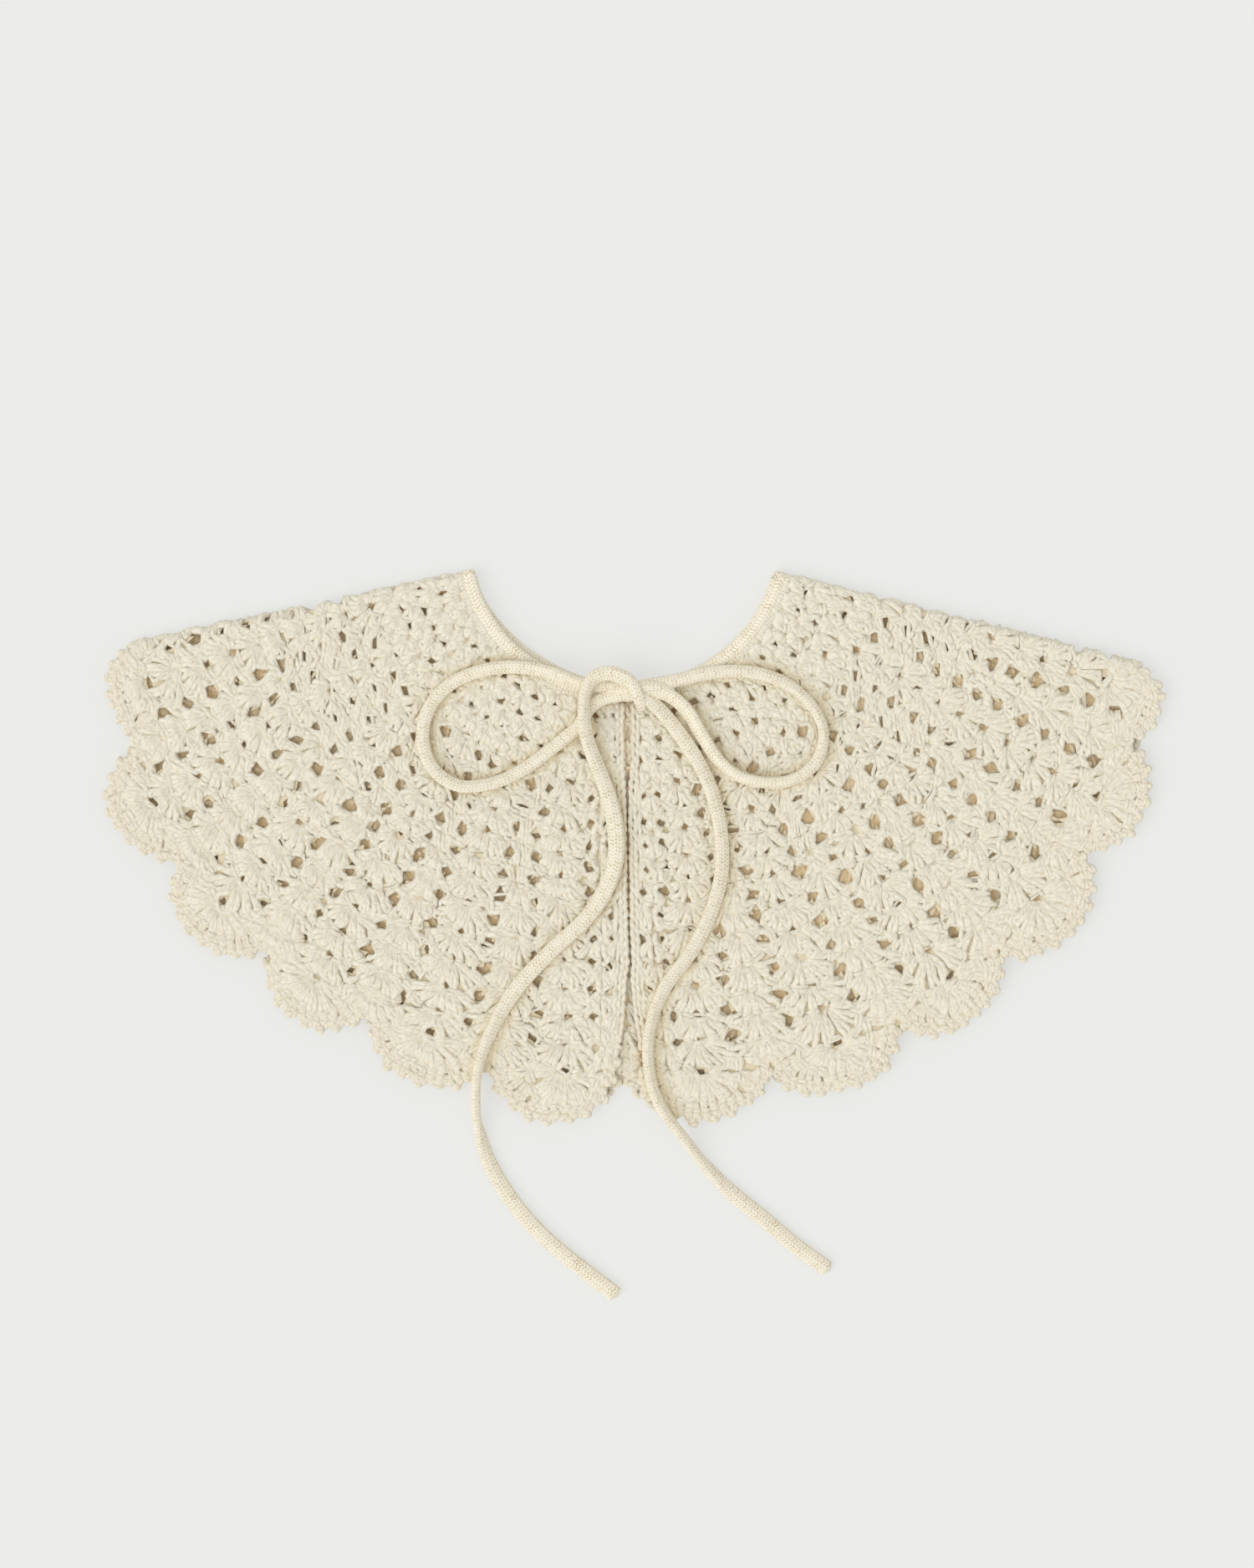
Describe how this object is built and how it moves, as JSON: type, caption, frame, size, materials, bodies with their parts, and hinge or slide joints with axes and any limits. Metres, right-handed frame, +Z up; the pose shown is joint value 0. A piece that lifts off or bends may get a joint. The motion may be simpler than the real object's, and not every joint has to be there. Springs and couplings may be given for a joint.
{
  "type": "crochet collar",
  "caption": "Round crochet collar in shell stitch with a picot scallop edge, folded flat at both shoulders, its flat knitted ties in a bow with long tails.",
  "frame": {"origin": "centre of the folded collar without its cords, on the surface that it lies on", "axes": "+X towards the right-hand shoulder fold, +Y towards the hollow of the neck, +Z up from the surface, so the scalloped hem and the tails point to -Y"},
  "size_m": [0.4878, 0.3382, 0.0195],
  "materials": {
    "ivory_yarn": "soft fuzzy wool, matt",
    "warm_yarn": "soft fuzzy wool, matt, a little warmer",
    "fine_knit": "fine smooth knit, matt"
  },
  "bodies": {
    "root": {"crochet_body": "ivory_yarn", "front_band_left": "ivory_yarn", "front_band_right": "ivory_yarn", "neck_binding": "fine_knit", "picot_edging": "warm_yarn", "bow_knot": "fine_knit", "bow_loop_left": "fine_knit", "bow_loop_right": "fine_knit", "tie_tail_left": "fine_knit", "tie_tail_right": "fine_knit"}
  },
  "joints": []
}
